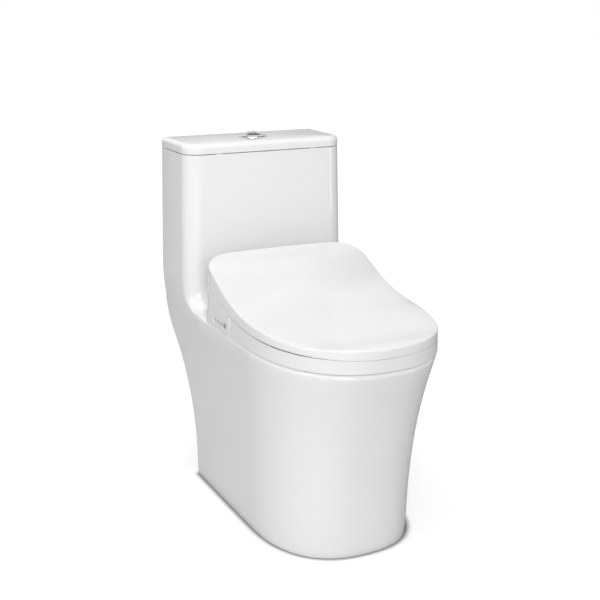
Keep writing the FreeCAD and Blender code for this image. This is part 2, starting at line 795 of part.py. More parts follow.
# ---- Seat ring ----
def seat_ring_top():
    block = unit_block(0.0, unit_low_z, 470.0)
    block = block.common(box(-200, 200, front_y - 5, ring_rear_y, ring_bottom_z, 470))
    block = block.common(under_dish(seam_gap))
    block = block.cut(opening_block(0.0, ring_bottom_z - 2, 470))
    block = block.cut(box(-arch_half, arch_half, opening_y + opening_reach * 0.8, ring_rear_y + 5, 390, arch_top_z))
    inner = unit_block(ring_wall, unit_low_z, 470.0)
    rear = ring_rear_y - ring_wall
    inner = inner.common(box(-200, 200, front_y, rear, ring_bottom_z - 1, 470))
    inner = inner.common(under_dish(seam_gap + ring_wall))
    inner = inner.cut(opening_block(ring_wall, ring_bottom_z - 2, 470))
    inner = inner.cut(box(-arch_half - ring_wall, arch_half + ring_wall, opening_y + opening_reach * 0.8 - ring_wall,
                          ring_rear_y + 5, 390, 470))
    block = block.cut(inner)
    return block


def seat_ring_bottom():
    inset = ring_wall + 0.15
    plate = unit_block(inset, unit_low_z, 470.0)
    plate = plate.common(box(-200, 200, front_y, ring_rear_y - inset, ring_bottom_z, ring_bottom_z + ring_floor))
    plate = plate.cut(opening_block(inset, ring_bottom_z - 2, 470))
    return plate.cut(box(-arch_half - inset, arch_half + inset, opening_y + opening_reach * 0.8 - inset,
                         ring_rear_y + 5, 390, 470))


def seat_heater():
    inset = ring_wall + 6
    foil = unit_block(inset, unit_low_z, 470.0)
    foil = foil.common(box(-200, 200, front_y, ring_rear_y - inset, ring_bottom_z, 470))
    foil = foil.common(under_dish(seam_gap + ring_wall + 0.1)).cut(under_dish(seam_gap + ring_wall + 1.1))
    foil = foil.cut(opening_block(inset, ring_bottom_z - 2, 470))
    return foil.cut(box(-arch_half - inset, arch_half + inset, opening_y + opening_reach * 0.8 - inset,
                        ring_rear_y + 5, 390, 470))


def seat_bumpers():
    pads = []
    for x, y in ((-140, -90), (140, -90), (-98, -270), (98, -270)):
        pad = upright(8, rim_z + 0.2, ring_bottom_z, x, y)
        pads.append(pad)
    return Part.Compound(pads)


def seat_arms():
    # two arms that carry the ring from the hinge
    arms = []
    under = ledge_z + 3.4
    for side in (-1, 1):
        x0, x1 = sorted((side * arm_inner, side * arm_outer))
        points = [(ring_rear_y - 5, under), (ring_rear_y - 5, 441.5), (20, 452), (hinge_y, hinge_z + arm_boss - 0.4)]
        points += [(hinge_y + 3, hinge_z - arm_boss + 0.4), (10, under + 5), (-10, under)]
        arm = polygon_prism(points, x0, x1).fuse(crosswise(arm_boss, x0, x1, hinge_y, hinge_z))
        arms.append(arm.cut(crosswise(pin_radius + pin_clearance, x0 - 1, x1 + 1, hinge_y, hinge_z)))
    return arms


# ---- Lid ----
def lid_shell():
    outer = unit_block(0.0, 420, unit_high_z).common(under_crown(0.0))
    top = [e for e in outer.Edges if e.BoundBox.ZMin > 440 and e.BoundBox.ZMax > 444 and not is_low(e)]
    rounded = outer.makeFillet(lid_edge_radius, top)
    inner = unit_block(lid_wall, 419, unit_high_z).common(under_crown(-lid_panel))
    shell = rounded.cut(inner)
    shell = shell.cut(below_seam(0.0))
    # behind the hinge only a short lip is left, clear of the housing's drum
    rear = [(seam_line[-1][0] - 0.01, 380), (seam_line[-1][0] - 0.01, seam_line[-1][1]), (hinge_y, 478.2)]
    rear += [(hinge_y + 15, 492), (hinge_y + 24, lid_rear_lip_z - 1), (hinge_y + 32, lid_rear_lip_z)]
    rear += [(hinge_y + 60, lid_rear_lip_z), (hinge_y + 60, 380)]
    shell = shell.cut(polygon_prism(rear, -200, 200))
    for side in (-1, 1):
        x0, x1 = sorted((side * ear_inner, side * ear_outer))
        points = [(hinge_y - 8, hinge_z), (hinge_y - 22, 540), (hinge_y + 12, 540), (hinge_y + 8, hinge_z)]
        ear = polygon_prism(points, x0, x1).common(under_crown(-lid_panel / 2)).common(unit_block(1, 419, unit_high_z))
        ear = ear.fuse(crosswise(ear_boss, x0, x1, hinge_y, hinge_z))
        shell = shell.fuse(ear.cut(crosswise(pin_radius + pin_clearance, x0 - 1, x1 + 1, hinge_y, hinge_z)))
    return shell


def is_low(edge):
    # an edge of the bottom face, or an upright edge
    return edge.BoundBox.ZMax < 440 or (edge.BoundBox.ZLength > 60 and edge.BoundBox.YLength < 15)


def lid_bumpers():
    pads = []
    for x, y in ((-150, -130), (150, -130)):
        low = 437.0
        pad = upright(6, low, 470, x, y).common(under_crown(-lid_panel - 0.1))
        pads.append(pad.common(box(-200, 200, -400, 200, 430, 470)).cut(under_dish(seam_gap - 0.3)))
    return Part.Compound(pads)


# ---- Housing ----
def housing_base():
    block = unit_block(0.0, unit_low_z, 470.0)
    inner_zone = box(-panel_inner + side_gap, panel_inner - side_gap, housing_front_y, 160, housing_bottom_z, ledge_z)
    rear_zone = box(-200, 200, panel_rear_y + side_gap, 160, housing_bottom_z, ledge_z)
    base = block.common(inner_zone.fuse(rear_zone))
    inner = unit_block(housing_wall, unit_low_z, 470.0)
    edge = panel_inner - side_gap - housing_wall
    floor = housing_bottom_z + housing_wall
    inner = inner.common(box(-edge, edge, housing_front_y + housing_wall, 160, floor, ledge_z + 1))
    base = base.cut(inner)
    # raised pocket over the mounting plate
    pocket = (-plate_half - 4, plate_half + 4, plate_front_y - 6, plate_rear_y + 6)
    grow = housing_wall
    base = base.fuse(box(pocket[0] - grow, pocket[1] + grow, pocket[2] - grow, pocket[3] + grow,
                         housing_bottom_z, recess_ceiling_z + recess_roof))
    base = base.cut(box(*pocket, housing_bottom_z - 1, recess_ceiling_z))
    # wand mouths, warm air outlet, water inlet and cable gland
    for side in (-1, 1):
        base = base.cut(along_wand(wand_radius + 1.5, -80, 40, side * wand_x))
    mouth = (duct_low_x, duct_high_x, housing_front_y - 1, housing_front_y + housing_wall + 1)
    base = base.cut(box(*mouth, duct_bottom_z, duct_top_z))
    stub_inner_x = stub_end_x - stub_length
    flange_room = stub_radius + stub_flange + 0.3
    base = base.cut(crosswise(flange_room, stub_inner_x - 0.3, stub_inner_x + 3.3, stub_y, stub_z))
    base = base.cut(crosswise(stub_radius + 0.2, stub_inner_x, 200, stub_y, stub_z))
    return base.cut(crosswise(gland_radius + 0.2, 130, 200, gland_y, stub_z))


def cover_outline(drop):
    # side view of the dome: sloping front, round drum about the hinge, open below
    r = drum_radius - drop
    front = housing_front_y + drop
    centre = V(0, hinge_y, hinge_z)
    corner = V(0, front, 447.0)
    reach = corner - centre
    lean = math.atan2(reach.z, reach.y) - math.acos(r / reach.Length)
    touch = centre + V(0, r * math.cos(lean), r * math.sin(lean))
    end_turn = math.radians(-58)
    end = centre + V(0, r * math.cos(end_turn), r * math.sin(end_turn))
    middle = centre + V(0, r * math.cos((lean + end_turn) / 2), r * math.sin((lean + end_turn) / 2))
    base_z = ledge_z + 0.2 if drop == 0 else ledge_z - 1
    foot_rear = V(0, end.y, base_z)
    foot_front = V(0, front, base_z)
    edges = [Part.makeLine(foot_front, corner), Part.makeLine(corner, touch)]
    edges += [Part.Arc(touch, middle, end).toShape(), Part.makeLine(end, foot_rear)]
    edges.append(Part.makeLine(foot_rear, foot_front))
    return Part.Face(Part.Wire(edges))


def cover_block(drop, half):
    block = cover_outline(drop).extrude(V(2 * half, 0, 0))
    block.translate(V(-half, 0, 0))
    return block


def housing_cover():
    dome = cover_block(0.0, dome_half)
    tops = [e for e in dome.Edges if abs(abs(e.BoundBox.Center.x) - dome_half) < 0.01 and e.BoundBox.ZMax > ledge_z + 5]
    tops = [e for e in tops if e.BoundBox.YLength > 10]
    dome = dome.makeFillet(5.0, tops)
    flange = unit_block(1.0, unit_low_z, 470.0)
    low, high = ledge_z + 0.2, ledge_z + 2.7
    edge = panel_inner - side_gap
    flat = flange.common(box(-edge, edge, housing_front_y + 0.2, panel_rear_y + side_gap, low, high))
    flat = flat.fuse(flange.common(box(-200, 200, panel_rear_y + side_gap, 160, low, high)))
    cover = dome.fuse(flat)
    cover = cover.cut(cover_block(housing_wall, dome_half - housing_wall))
    bore = crosswise(pin_radius + pin_clearance, -200, 200, hinge_y, hinge_z)
    return cover.cut(bore)


def panel_blank(side, top_drop):
    block = unit_block(0.0, unit_low_z, 490.0)
    x0, x1 = sorted((side * panel_inner, side * (rim_half + 10)))
    block = block.common(box(x0, x1, panel_front_y, panel_rear_y, housing_bottom_z, 490))
    bead_x = side * (unit_half(key_z) + bead_proud - bead_radius)
    bead = upright(bead_radius, housing_bottom_z, 490, bead_x, bead_y)
    return block.fuse(bead).common(below_seam(top_drop))


def side_panel(side):
    panel = panel_blank(side, seam_gap)
    outer = [e for e in panel.Edges if e.BoundBox.ZLength > 10 and e.BoundBox.YLength > 60
             and abs(e.BoundBox.Center.x) > unit_half(key_z) - 6]
    if outer:
        panel = panel.makeFillet(1.2, outer)
    return panel


def recess_block(side, grow, depth):
    # long rounded recess that frames the keys
    low, high = recess_low_z - grow, recess_high_z + grow
    radius = (high - low) / 2
    x0, x1 = sorted((side * (unit_half(key_z) - depth), side * (rim_half + 5)))
    middle = (low + high) / 2
    y0, y1 = recess_front_y + radius - grow, recess_rear_y - radius + grow
    block = box(x0, x1, y0, y1, low, high)
    block = block.fuse(crosswise(radius, x0, x1, y0, middle))
    return block.fuse(crosswise(radius, x0, x1, y1, middle)).removeSplitter()


def key_prism(y, half_width, half_height, grow, x0, x1):
    a, b = half_width + grow, half_height + grow
    block = box(x0, x1, y - a, y + a, key_z - b + a, key_z + b - a)
    block = block.fuse(crosswise(a, x0, x1, y, key_z + b - a))
    return block.fuse(crosswise(a, x0, x1, y, key_z - b + a)).removeSplitter()


def control_panel():
    panel = side_panel(-1).cut(recess_block(-1, 0.0, recess_depth))
    for name, y, half_width, half_height in key_rows:
        panel = panel.cut(key_prism(y, half_width, half_height, key_clearance, -200, -panel_inner + 1))
    return panel


def side_key(y, half_width, half_height):
    face = -(unit_half(key_z) - recess_depth) - 1.6
    key = key_prism(y, half_width, half_height, 0.0, face, face + key_stem + 1.6)
    cap = [e for e in key.Edges if abs(e.BoundBox.XMin - face) < 0.01 and e.BoundBox.XLength < 0.01]
    return key.makeFillet(0.6, cap)


def right_panel():
    panel = side_panel(1)
    return panel.cut(box(150, 200, release_y - release_half - 0.4, release_y + release_half + 0.4,
                         release_z - release_height / 2 - 0.4, release_z + release_height / 2 + 0.4))


def release_button():
    button = box(panel_inner + release_travel + 0.5, unit_half(release_z) + 2.4, release_y - release_half, release_y + release_half,
                 release_z - release_height / 2, release_z + release_height / 2)
    outer = [e for e in button.Edges if e.BoundBox.XMin > rim_half]
    return button.makeFillet(1.2, outer)


def hinge_pins():
    pins = []
    for side in (-1, 1):
        x0, x1 = sorted((side * (dome_half - 16), side * (ear_outer - 0.2)))
        pins.append(crosswise(pin_radius, x0, x1, hinge_y, hinge_z))
    return Part.Compound(pins)


def damper(side):
    x0, x1 = sorted((side * (dome_half - housing_wall - 50), side * (dome_half - housing_wall - 0.1)))
    body = crosswise(12.0, x0, x1, hinge_y, hinge_z)
    rim = [e for e in body.Edges if e.BoundBox.XLength < 0.01]
    body = body.makeFillet(1.5, rim)
    bore = crosswise(pin_radius, *sorted((side * (dome_half - 16), side * dome_half)), hinge_y, hinge_z)
    return body.cut(bore)


# ---- Mounting to the rim ----
def mounting_plate():
    low, high = rim_z, rim_z + plate_thickness
    plate = box(-plate_half, plate_half, plate_front_y, plate_rear_y, low, high)
    corners = [e for e in plate.Edges if e.BoundBox.ZLength > plate_thickness - 0.1]
    plate = plate.makeFillet(8.0, corners)
    plate = plate.cut(box(-40, 40, plate_front_y + 18, plate_rear_y - 12, low - 1, high + 1))
    for side in (-1, 1):
        x = side * bolt_x
        slot = box(x - bolt_radius - 0.4, x + bolt_radius + 0.4, bolt_y - 10, bolt_y + 10, low - 1, high + 1)
        for y in (bolt_y - 10, bolt_y + 10):
            slot = slot.fuse(upright(bolt_radius + 0.4, low - 1, high + 1, x, y))
        plate = plate.cut(slot)
    return plate


def mounting_bolts():
    seat = rim_z + plate_thickness
    bolts = []
    for side in (-1, 1):
        head = upright(bolt_head_radius, seat, seat + bolt_head_height, side * bolt_x, bolt_y)
        shank = upright(bolt_radius, bolt_bottom_z, seat, side * bolt_x, bolt_y)
        slot = box(side * bolt_x - 6, side * bolt_x + 6, bolt_y - 0.8, bolt_y + 0.8, seat + 1.8, seat + 9)
        bolts.append(head.fuse(shank).cut(slot))
    return Part.Compound(bolts)


def mounting_bushes():
    low = rim_z - deck_thickness - 18
    bushes = []
    for side in (-1, 1):
        x = side * bolt_x
        shell = upright(bush_radius, low, rim_z - 0.4, x, bolt_y)
        bushes.append(shell.cut(upright(bolt_radius + 0.1, low - 1, rim_z + 1, x, bolt_y)))
    return Part.Compound(bushes)


def mounting_nuts():
    top = rim_z - deck_thickness - 18
    nuts = []
    for side in (-1, 1):
        x = side * bolt_x
        nut = upright(9.0, top - 8, top, x, bolt_y)
        nut = nut.fuse(box(x - 15, x + 15, bolt_y - 1.6, bolt_y + 1.6, top - 11, top - 2))
        nuts.append(nut.cut(upright(bolt_radius + 0.1, top - 20, top + 1, x, bolt_y)))
    return Part.Compound(nuts)


def shelf_z():
    # where the units over the mounting plate stand
    return recess_ceiling_z + recess_roof + inner_seat


# ---- Washing ----
def wand_direction():
    slope = math.radians(wand_slope)
    return V(0, -math.cos(slope), -math.sin(slope))


def along_wand(radius, start, end, x):
    # a cylinder on the wand's axis, measured forward from the retracted tip
    ahead = wand_direction()
    tip = V(x, wand_tip_y, wand_rim_z + wand_tip_y * math.tan(math.radians(wand_slope)))
    return Part.makeCylinder(radius, end - start, tip - ahead * -start, ahead)


def wand(side):
    body = along_wand(wand_radius, -wand_length, 0, side * wand_x)
    tip = [e for e in body.Edges if e.BoundBox.Center.y < wand_tip_y + 4]
    body = body.makeFillet(3.0, tip)
    ahead = wand_direction()
    spot = V(side * wand_x, wand_tip_y, wand_rim_z + wand_tip_y * math.tan(math.radians(wand_slope)))
    down = V(0, -ahead.z, ahead.y)
    if down.z > 0:
        down = down * -1
    jets = 2 if side < 0 else 3
    for i in range(jets):
        hole = Part.makeCylinder(0.8, 5, spot - ahead * (8 + 3 * i) - down * (wand_radius + 1), down)
        body = body.cut(hole)
    return body


def nozzle_guide():
    # block with the two slanting bores that the wands run in
    ahead = wand_direction()
    spot = V(0, wand_tip_y, wand_rim_z + wand_tip_y * math.tan(math.radians(wand_slope)))
    start = spot - ahead * 28
    across = V(1, 0, 0)
    normal = ahead.cross(across)
    if normal.z < 0:
        normal = normal * -1
    half_h = guide_depth / 2
    corners = [start - across * guide_half - normal * half_h, start + across * guide_half - normal * half_h,
               start + across * guide_half + normal * half_h, start - across * guide_half + normal * half_h]
    face = Part.Face(Part.makePolygon(corners + corners[:1]))
    block = face.extrude(ahead * -78)
    sides = [e for e in block.Edges if e.Length > 77]
    block = block.makeFillet(5.0, sides)
    foot_front = plate_front_y - 8
    block = block.fuse(box(6 - guide_half, guide_half - 6, foot_front, foot_front + 22, shelf_z(), wand_rim_z + 4))
    for side in (-1, 1):
        block = block.cut(along_wand(wand_radius + wand_clearance, -wand_length - 20, 20, side * wand_x))
    trim = box(-60, 60, -60, 160, 400, recess_ceiling_z + 2.2)
    return block.cut(trim)


def water_heater():
    low, high = shelf_z(), shelf_z() + heater_height
    block = box(-140, -46, 32, 104, low, high)
    edges = [e for e in block.Edges if e.BoundBox.ZLength > 20]
    block = block.makeFillet(10.0, edges)
    top = [e for e in block.Edges if e.BoundBox.ZMin > high - 1]
    block = block.makeFillet(3.0, top)
    for y in (45, 91):
        block = block.fuse(crosswise(5.0, -47, -36, y, low + heater_height / 2))
    return block


def control_board():
    seat = shelf_z() + heater_height
    low = seat + board_standoff
    top = low + 1.6
    board = box(-138, -40, 38, 82, low, top)
    parts = [box(-130, -110, 44, 60, top, top + 7.4), box(-100, -84, 46, 62, top, top + 2.4)]
    parts += [upright(5, top, top + 11, -72, 52), upright(5, top, top + 11, -58, 52)]
    parts.append(box(-132, -96, 66, 74, top, top + 5))
    for x, y in ((-128, 44), (-54, 44)):
        parts.append(upright(2.2, seat, low, x, y))
    for piece in parts:
        board = board.fuse(piece)
    return board


def solenoid_valve():
    low = housing_bottom_z + housing_wall + inner_seat
    body = box(96, 132, 116, 132, low, low + 18)
    return body.fuse(crosswise(8.0, 60, 96, 124, low + 9))


def inlet_stub():
    inner_x = stub_end_x - stub_length
    body = crosswise(stub_neck_radius, inner_x, stub_end_x, stub_y, stub_z)
    body = body.fuse(crosswise(stub_radius, stub_end_x - stub_thread_length, stub_end_x, stub_y, stub_z))
    body = body.fuse(crosswise(stub_radius + stub_flange, inner_x, inner_x + 3, stub_y, stub_z))
    return body.cut(crosswise(stub_bore, inner_x - 1, stub_end_x + 1, stub_y, stub_z))


def cord_gland():
    inner_x = gland_outer_x - gland_length
    body = crosswise(gland_radius, inner_x, gland_outer_x, gland_y, stub_z)
    body = body.fuse(crosswise(gland_radius + 1.0, inner_x, inner_x + 3, gland_y, stub_z))
    return body.cut(crosswise(gland_bore, inner_x - 1, gland_outer_x + 1, gland_y, stub_z))


# ---- Warm air ----
def fan_casing():
    low = shelf_z()
    high = low + fan_height
    outer = upright(fan_radius + 2, low, high, fan_x, fan_y)
    inner = upright(fan_radius, low + 2, high - 2, fan_x, fan_y)
    casing = outer.cut(inner)
    casing = casing.cut(upright(17.0, high - 3, high + 1, fan_x, fan_y))
    casing = casing.fuse(upright(6.0, low + 1.9, low + 6, fan_x, fan_y))
    mouth = box(duct_low_x + 20, duct_high_x, 30, 50, low + 2, low + 9)
    return casing.cut(mouth)


def fan_impeller():
    low = shelf_z() + 8
    hub = upright(8.0, low - 1.7, low + 18, fan_x, fan_y)
    wheel = hub.fuse(upright(impeller_radius, low, low + 1.6, fan_x, fan_y))
    blade_r = 12.0
    for i in range(impeller_blades):
        outer = ring(blade_r, blade_r - 1.2, low + 1.5, low + 16, 0, 0)
        piece = outer.common(box(0, blade_r, 0, blade_r, low, low + 17))
        piece.translate(V(impeller_radius - blade_r - 0.6, 0, 0))
        piece.rotate(V(0, 0, 0), V(0, 0, 1), 360 * i / impeller_blades)
        piece.translate(V(fan_x, fan_y, 0))
        wheel = wheel.fuse(piece)
    return wheel


def dryer_duct():
    # climbs from the outlet over the plate's pocket to the fan
    low, high = duct_bottom_z + duct_wall, duct_top_z - 1.0
    front, knee, rear = housing_front_y + housing_wall + 6, 14.0, 54.0
    step = shelf_z()
    w = duct_wall
    shell = polygon_prism([(front, low), (knee, low), (knee + 6, step), (rear, step), (rear, high), (front, high)],
                          duct_low_x + 2, duct_high_x - 2)
    bore = polygon_prism([(front - 1, low + w), (knee - 1, low + w), (knee + 5, step + w), (rear + 1, step + w),
                          (rear + 1, high - w), (front - 1, high - w)], duct_low_x + 2 + w, duct_high_x - 2 - w)
    return shell.cut(bore).cut(upright(fan_radius + 2.3, low, high + 1, fan_x, fan_y))


def dryer_flap():
    top = duct_top_z - 1.2
    y = housing_front_y + 1.6
    flap = box(duct_low_x + 0.5, duct_high_x - 0.5, y, y + flap_thickness, duct_bottom_z + 0.5, top)
    barrel = crosswise(1.4, duct_low_x + 0.5, duct_high_x - 0.5, y + 0.8, top - 0.6)
    return flap.fuse(barrel)


def outlet_seal():
    inner = outlet_bore + outlet_wall + 0.3
    seal = ring(inner + 9, inner, spigot_length + 1, spigot_length + 1 + seal_height, 0, outlet_y)
    edges = [e for e in seal.Edges if e.BoundBox.ZLength < 0.01 and e.BoundBox.XLength > 2 * inner + 5]
    return seal.makeFillet(3.0, edges)


pieces = {
    "ceramic_body": ceramic_body,
    "outlet_seal": outlet_seal,
    "tank_lid": tank_lid,
    "tank_lid_pads": tank_lid_pads,
    "flush_button_bezel": button_bezel,
    "bezel_nut": bezel_nut,
    "flush_button_half": lambda: flush_button(1),
    "flush_button_full": lambda: flush_button(-1),
    "push_rod_half": lambda: push_rod(1),
    "push_rod_full": lambda: push_rod(-1),
    "flush_valve_body": flush_valve_body,
    "flush_valve_gasket": flush_valve_gasket,
    "flush_valve_nut": flush_valve_nut,
    "flush_valve_head": flush_valve_head,
    "flush_canister": flush_canister,
    "flush_seal": flush_seal,
    "fill_valve": fill_valve,
    "fill_valve_gasket": fill_valve_gasket,
    "fill_valve_nut": fill_valve_nut,
    "fill_valve_cap": fill_valve_cap,
    "fill_valve_float": fill_valve_float,
    "refill_hose": refill_hose,
    "seat_ring_top": lambda: seat_ring_top().fuse(seat_arms()),
    "seat_ring_bottom": seat_ring_bottom,
    "seat_heater": seat_heater,
    "seat_bumpers": seat_bumpers,
    "lid_shell": lid_shell,
    "lid_bumpers": lid_bumpers,
    "housing_base": housing_base,
    "housing_cover": housing_cover,
    "control_panel": control_panel,
    "side_panel": right_panel,
    "release_button": release_button,
    "hinge_pins": hinge_pins,
    "seat_damper": lambda: damper(1),
    "lid_damper": lambda: damper(-1),
    "mounting_plate": mounting_plate,
    "mounting_bolts": mounting_bolts,
    "mounting_bushes": mounting_bushes,
    "mounting_nuts": mounting_nuts,
    "rear_wash_wand": lambda: wand(-1),
    "front_wash_wand": lambda: wand(1),
    "nozzle_guide": nozzle_guide,
    "water_heater": water_heater,
    "control_board": control_board,
    "solenoid_valve": solenoid_valve,
    "water_inlet": inlet_stub,
    "cord_gland": cord_gland,
    "fan_casing": fan_casing,
    "fan_impeller": fan_impeller,
    "dryer_duct": dryer_duct,
    "dryer_flap": dryer_flap,
}
for key_name, key_y, key_half_width, key_half_height in key_rows:
    pieces[key_name] = lambda y=key_y, a=key_half_width, b=key_half_height: side_key(y, a, b)

if __name__ == "__main__":
    for piece_name, maker in pieces.items():
        save(piece_name, maker())
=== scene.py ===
import math
import bpy
import bmesh
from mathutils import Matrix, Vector


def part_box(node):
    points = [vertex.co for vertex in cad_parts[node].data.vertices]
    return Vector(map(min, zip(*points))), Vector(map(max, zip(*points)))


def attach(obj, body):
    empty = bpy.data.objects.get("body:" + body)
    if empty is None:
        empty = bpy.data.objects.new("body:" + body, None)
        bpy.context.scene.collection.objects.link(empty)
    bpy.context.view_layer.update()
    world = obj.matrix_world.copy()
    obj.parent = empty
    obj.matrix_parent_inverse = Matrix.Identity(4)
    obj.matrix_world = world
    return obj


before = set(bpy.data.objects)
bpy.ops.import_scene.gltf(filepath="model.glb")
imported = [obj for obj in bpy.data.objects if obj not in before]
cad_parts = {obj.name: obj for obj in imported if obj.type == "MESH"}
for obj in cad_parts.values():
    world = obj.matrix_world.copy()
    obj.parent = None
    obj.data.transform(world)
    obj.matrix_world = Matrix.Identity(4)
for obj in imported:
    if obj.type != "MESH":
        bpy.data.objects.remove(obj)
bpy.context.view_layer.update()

bpy.context.scene.view_settings.view_transform = "Standard"


# small helpers for the node trees
def addNode(tree, kind, spot, **values):
    node = tree.nodes.new(kind)
    node.location = spot
    for name, value in values.items():
        setattr(node, name, value)
    return node


def setInputs(node, values):
    for name, value in values.items():
        node.inputs[name].default_value = value


def newGroup(name, inputs, outputs):
    tree = bpy.data.node_groups.new(name, "ShaderNodeTree")
    for label, kind, value in inputs:
        socket = tree.interface.new_socket(label, in_out="INPUT", socket_type=kind)
        socket.default_value = value
    for label, kind in outputs:
        tree.interface.new_socket(label, in_out="OUTPUT", socket_type=kind)
    entry = tree.nodes.new("NodeGroupInput")
    entry.location = (-900, 0)
    leave = tree.nodes.new("NodeGroupOutput")
    leave.location = (700, 0)
    return tree, entry, leave


print("shader groups")


# long soft waves of a fired glaze and the small pits in it
def buildGlazeGroup():
    tree, entry, leave = newGroup("glazeSurface", [
        ("Wave Scale", "NodeSocketFloat", 5.0),
        ("Pit Scale", "NodeSocketFloat", 900.0),
        ("Pit Share", "NodeSocketFloat", 0.1),
        ("Low Rough", "NodeSocketFloat", 0.05),
        ("High Rough", "NodeSocketFloat", 0.11),
        ("Thin Colour", "NodeSocketColor", (0.8, 0.8, 0.8, 1)),
        ("Thick Colour", "NodeSocketColor", (0.84, 0.84, 0.84, 1)),
    ], [("Colour", "NodeSocketColor"), ("Rough", "NodeSocketFloat"), ("Height", "NodeSocketFloat")])
    link = tree.links.new
    place = addNode(tree, "ShaderNodeTexCoord", (-900, 300))
    waves = addNode(tree, "ShaderNodeTexNoise", (-650, 300))
    setInputs(waves, {"Detail": 1.5, "Roughness": 0.4})
    link(place.outputs["Object"], waves.inputs["Vector"])
    link(entry.outputs["Wave Scale"], waves.inputs["Scale"])
    pits = addNode(tree, "ShaderNodeTexNoise", (-650, 0))
    setInputs(pits, {"Detail": 2.0, "Roughness": 0.5})
    link(place.outputs["Object"], pits.inputs["Vector"])
    link(entry.outputs["Pit Scale"], pits.inputs["Scale"])
    colour = addNode(tree, "ShaderNodeMix", (100, 300), data_type="RGBA")
    link(waves.outputs["Fac"], colour.inputs["Factor"])
    link(entry.outputs["Thin Colour"], colour.inputs[6])
    link(entry.outputs["Thick Colour"], colour.inputs[7])
    link(colour.outputs[2], leave.inputs["Colour"])
    rough = addNode(tree, "ShaderNodeMapRange", (100, 50))
    setInputs(rough, {"From Min": 0.3, "From Max": 0.7})
    link(waves.outputs["Fac"], rough.inputs["Value"])
    link(entry.outputs["Low Rough"], rough.inputs["To Min"])
    link(entry.outputs["High Rough"], rough.inputs["To Max"])
    link(rough.outputs["Result"], leave.inputs["Rough"])
    small = addNode(tree, "ShaderNodeMath", (-200, -150), operation="MULTIPLY")
    link(pits.outputs["Fac"], small.inputs[0])
    link(entry.outputs["Pit Share"], small.inputs[1])
    height = addNode(tree, "ShaderNodeMath", (100, -200), operation="ADD")
    link(waves.outputs["Fac"], height.inputs[0])
    link(small.outputs[0], height.inputs[1])
    link(height.outputs[0], leave.inputs["Height"])
    return tree


# fine grain of a moulded part, with slow changes of gloss from handling
def buildMouldGroup():
    tree, entry, leave = newGroup("mouldedSurface", [
        ("Grain Scale", "NodeSocketFloat", 1400.0),
        ("Smudge Scale", "NodeSocketFloat", 22.0),
        ("Low Rough", "NodeSocketFloat", 0.2),
        ("High Rough", "NodeSocketFloat", 0.3),
        ("Base Colour", "NodeSocketColor", (0.8, 0.8, 0.8, 1)),
        ("Tint Colour", "NodeSocketColor", (0.78, 0.78, 0.77, 1)),
    ], [("Colour", "NodeSocketColor"), ("Rough", "NodeSocketFloat"), ("Height", "NodeSocketFloat")])
    link = tree.links.new
    place = addNode(tree, "ShaderNodeTexCoord", (-900, 300))
    smudge = addNode(tree, "ShaderNodeTexNoise", (-650, 300))
    setInputs(smudge, {"Detail": 4.0, "Roughness": 0.55, "Distortion": 0.6})
    link(place.outputs["Object"], smudge.inputs["Vector"])
    link(entry.outputs["Smudge Scale"], smudge.inputs["Scale"])
    grain = addNode(tree, "ShaderNodeTexNoise", (-650, 0))
    setInputs(grain, {"Detail": 3.0, "Roughness": 0.65})
    link(place.outputs["Object"], grain.inputs["Vector"])
    link(entry.outputs["Grain Scale"], grain.inputs["Scale"])
    colour = addNode(tree, "ShaderNodeMix", (100, 300), data_type="RGBA")
    link(smudge.outputs["Fac"], colour.inputs["Factor"])
    link(entry.outputs["Base Colour"], colour.inputs[6])
    link(entry.outputs["Tint Colour"], colour.inputs[7])
    link(colour.outputs[2], leave.inputs["Colour"])
    rough = addNode(tree, "ShaderNodeMapRange", (100, 50))
    setInputs(rough, {"From Min": 0.3, "From Max": 0.7})
    link(smudge.outputs["Fac"], rough.inputs["Value"])
    link(entry.outputs["Low Rough"], rough.inputs["To Min"])
    link(entry.outputs["High Rough"], rough.inputs["To Max"])
    link(rough.outputs["Result"], leave.inputs["Rough"])
    link(grain.outputs["Fac"], leave.inputs["Height"])
    return tree


# fine lines left by brushing or turning, drawn out along one direction
def buildBrushGroup():
    tree, entry, leave = newGroup("brushedLines", [
        ("Stretch", "NodeSocketVector", (40.0, 1200.0, 1200.0)),
        ("Low Rough", "NodeSocketFloat", 0.2),
        ("High Rough", "NodeSocketFloat", 0.35),
        ("Light Colour", "NodeSocketColor", (0.7, 0.7, 0.7, 1)),
        ("Dark Colour", "NodeSocketColor", (0.5, 0.5, 0.5, 1)),
    ], [("Colour", "NodeSocketColor"), ("Rough", "NodeSocketFloat"), ("Height", "NodeSocketFloat")])
    link = tree.links.new
    place = addNode(tree, "ShaderNodeTexCoord", (-900, 200))
    turn = addNode(tree, "ShaderNodeVectorMath", (-700, 200), operation="MULTIPLY")
    link(place.outputs["Object"], turn.inputs[0])
    link(entry.outputs["Stretch"], turn.inputs[1])
    lines = addNode(tree, "ShaderNodeTexNoise", (-450, 200))
    setInputs(lines, {"Scale": 1.0, "Detail": 3.0, "Roughness": 0.6})
    link(turn.outputs[0], lines.inputs["Vector"])
    colour = addNode(tree, "ShaderNodeMix", (0, 300), data_type="RGBA")
    link(lines.outputs["Fac"], colour.inputs["Factor"])
    link(entry.outputs["Light Colour"], colour.inputs[6])
    link(entry.outputs["Dark Colour"], colour.inputs[7])
    link(colour.outputs[2], leave.inputs["Colour"])
    rough = addNode(tree, "ShaderNodeMapRange", (0, 0))
    link(lines.outputs["Fac"], rough.inputs["Value"])
    link(entry.outputs["Low Rough"], rough.inputs["To Min"])
    link(entry.outputs["High Rough"], rough.inputs["To Max"])
    link(rough.outputs["Result"], leave.inputs["Rough"])
    link(lines.outputs["Fac"], leave.inputs["Height"])
    return tree


glazeGroup = buildGlazeGroup()
mouldGroup = buildMouldGroup()
brushGroup = buildBrushGroup()

print("materials")


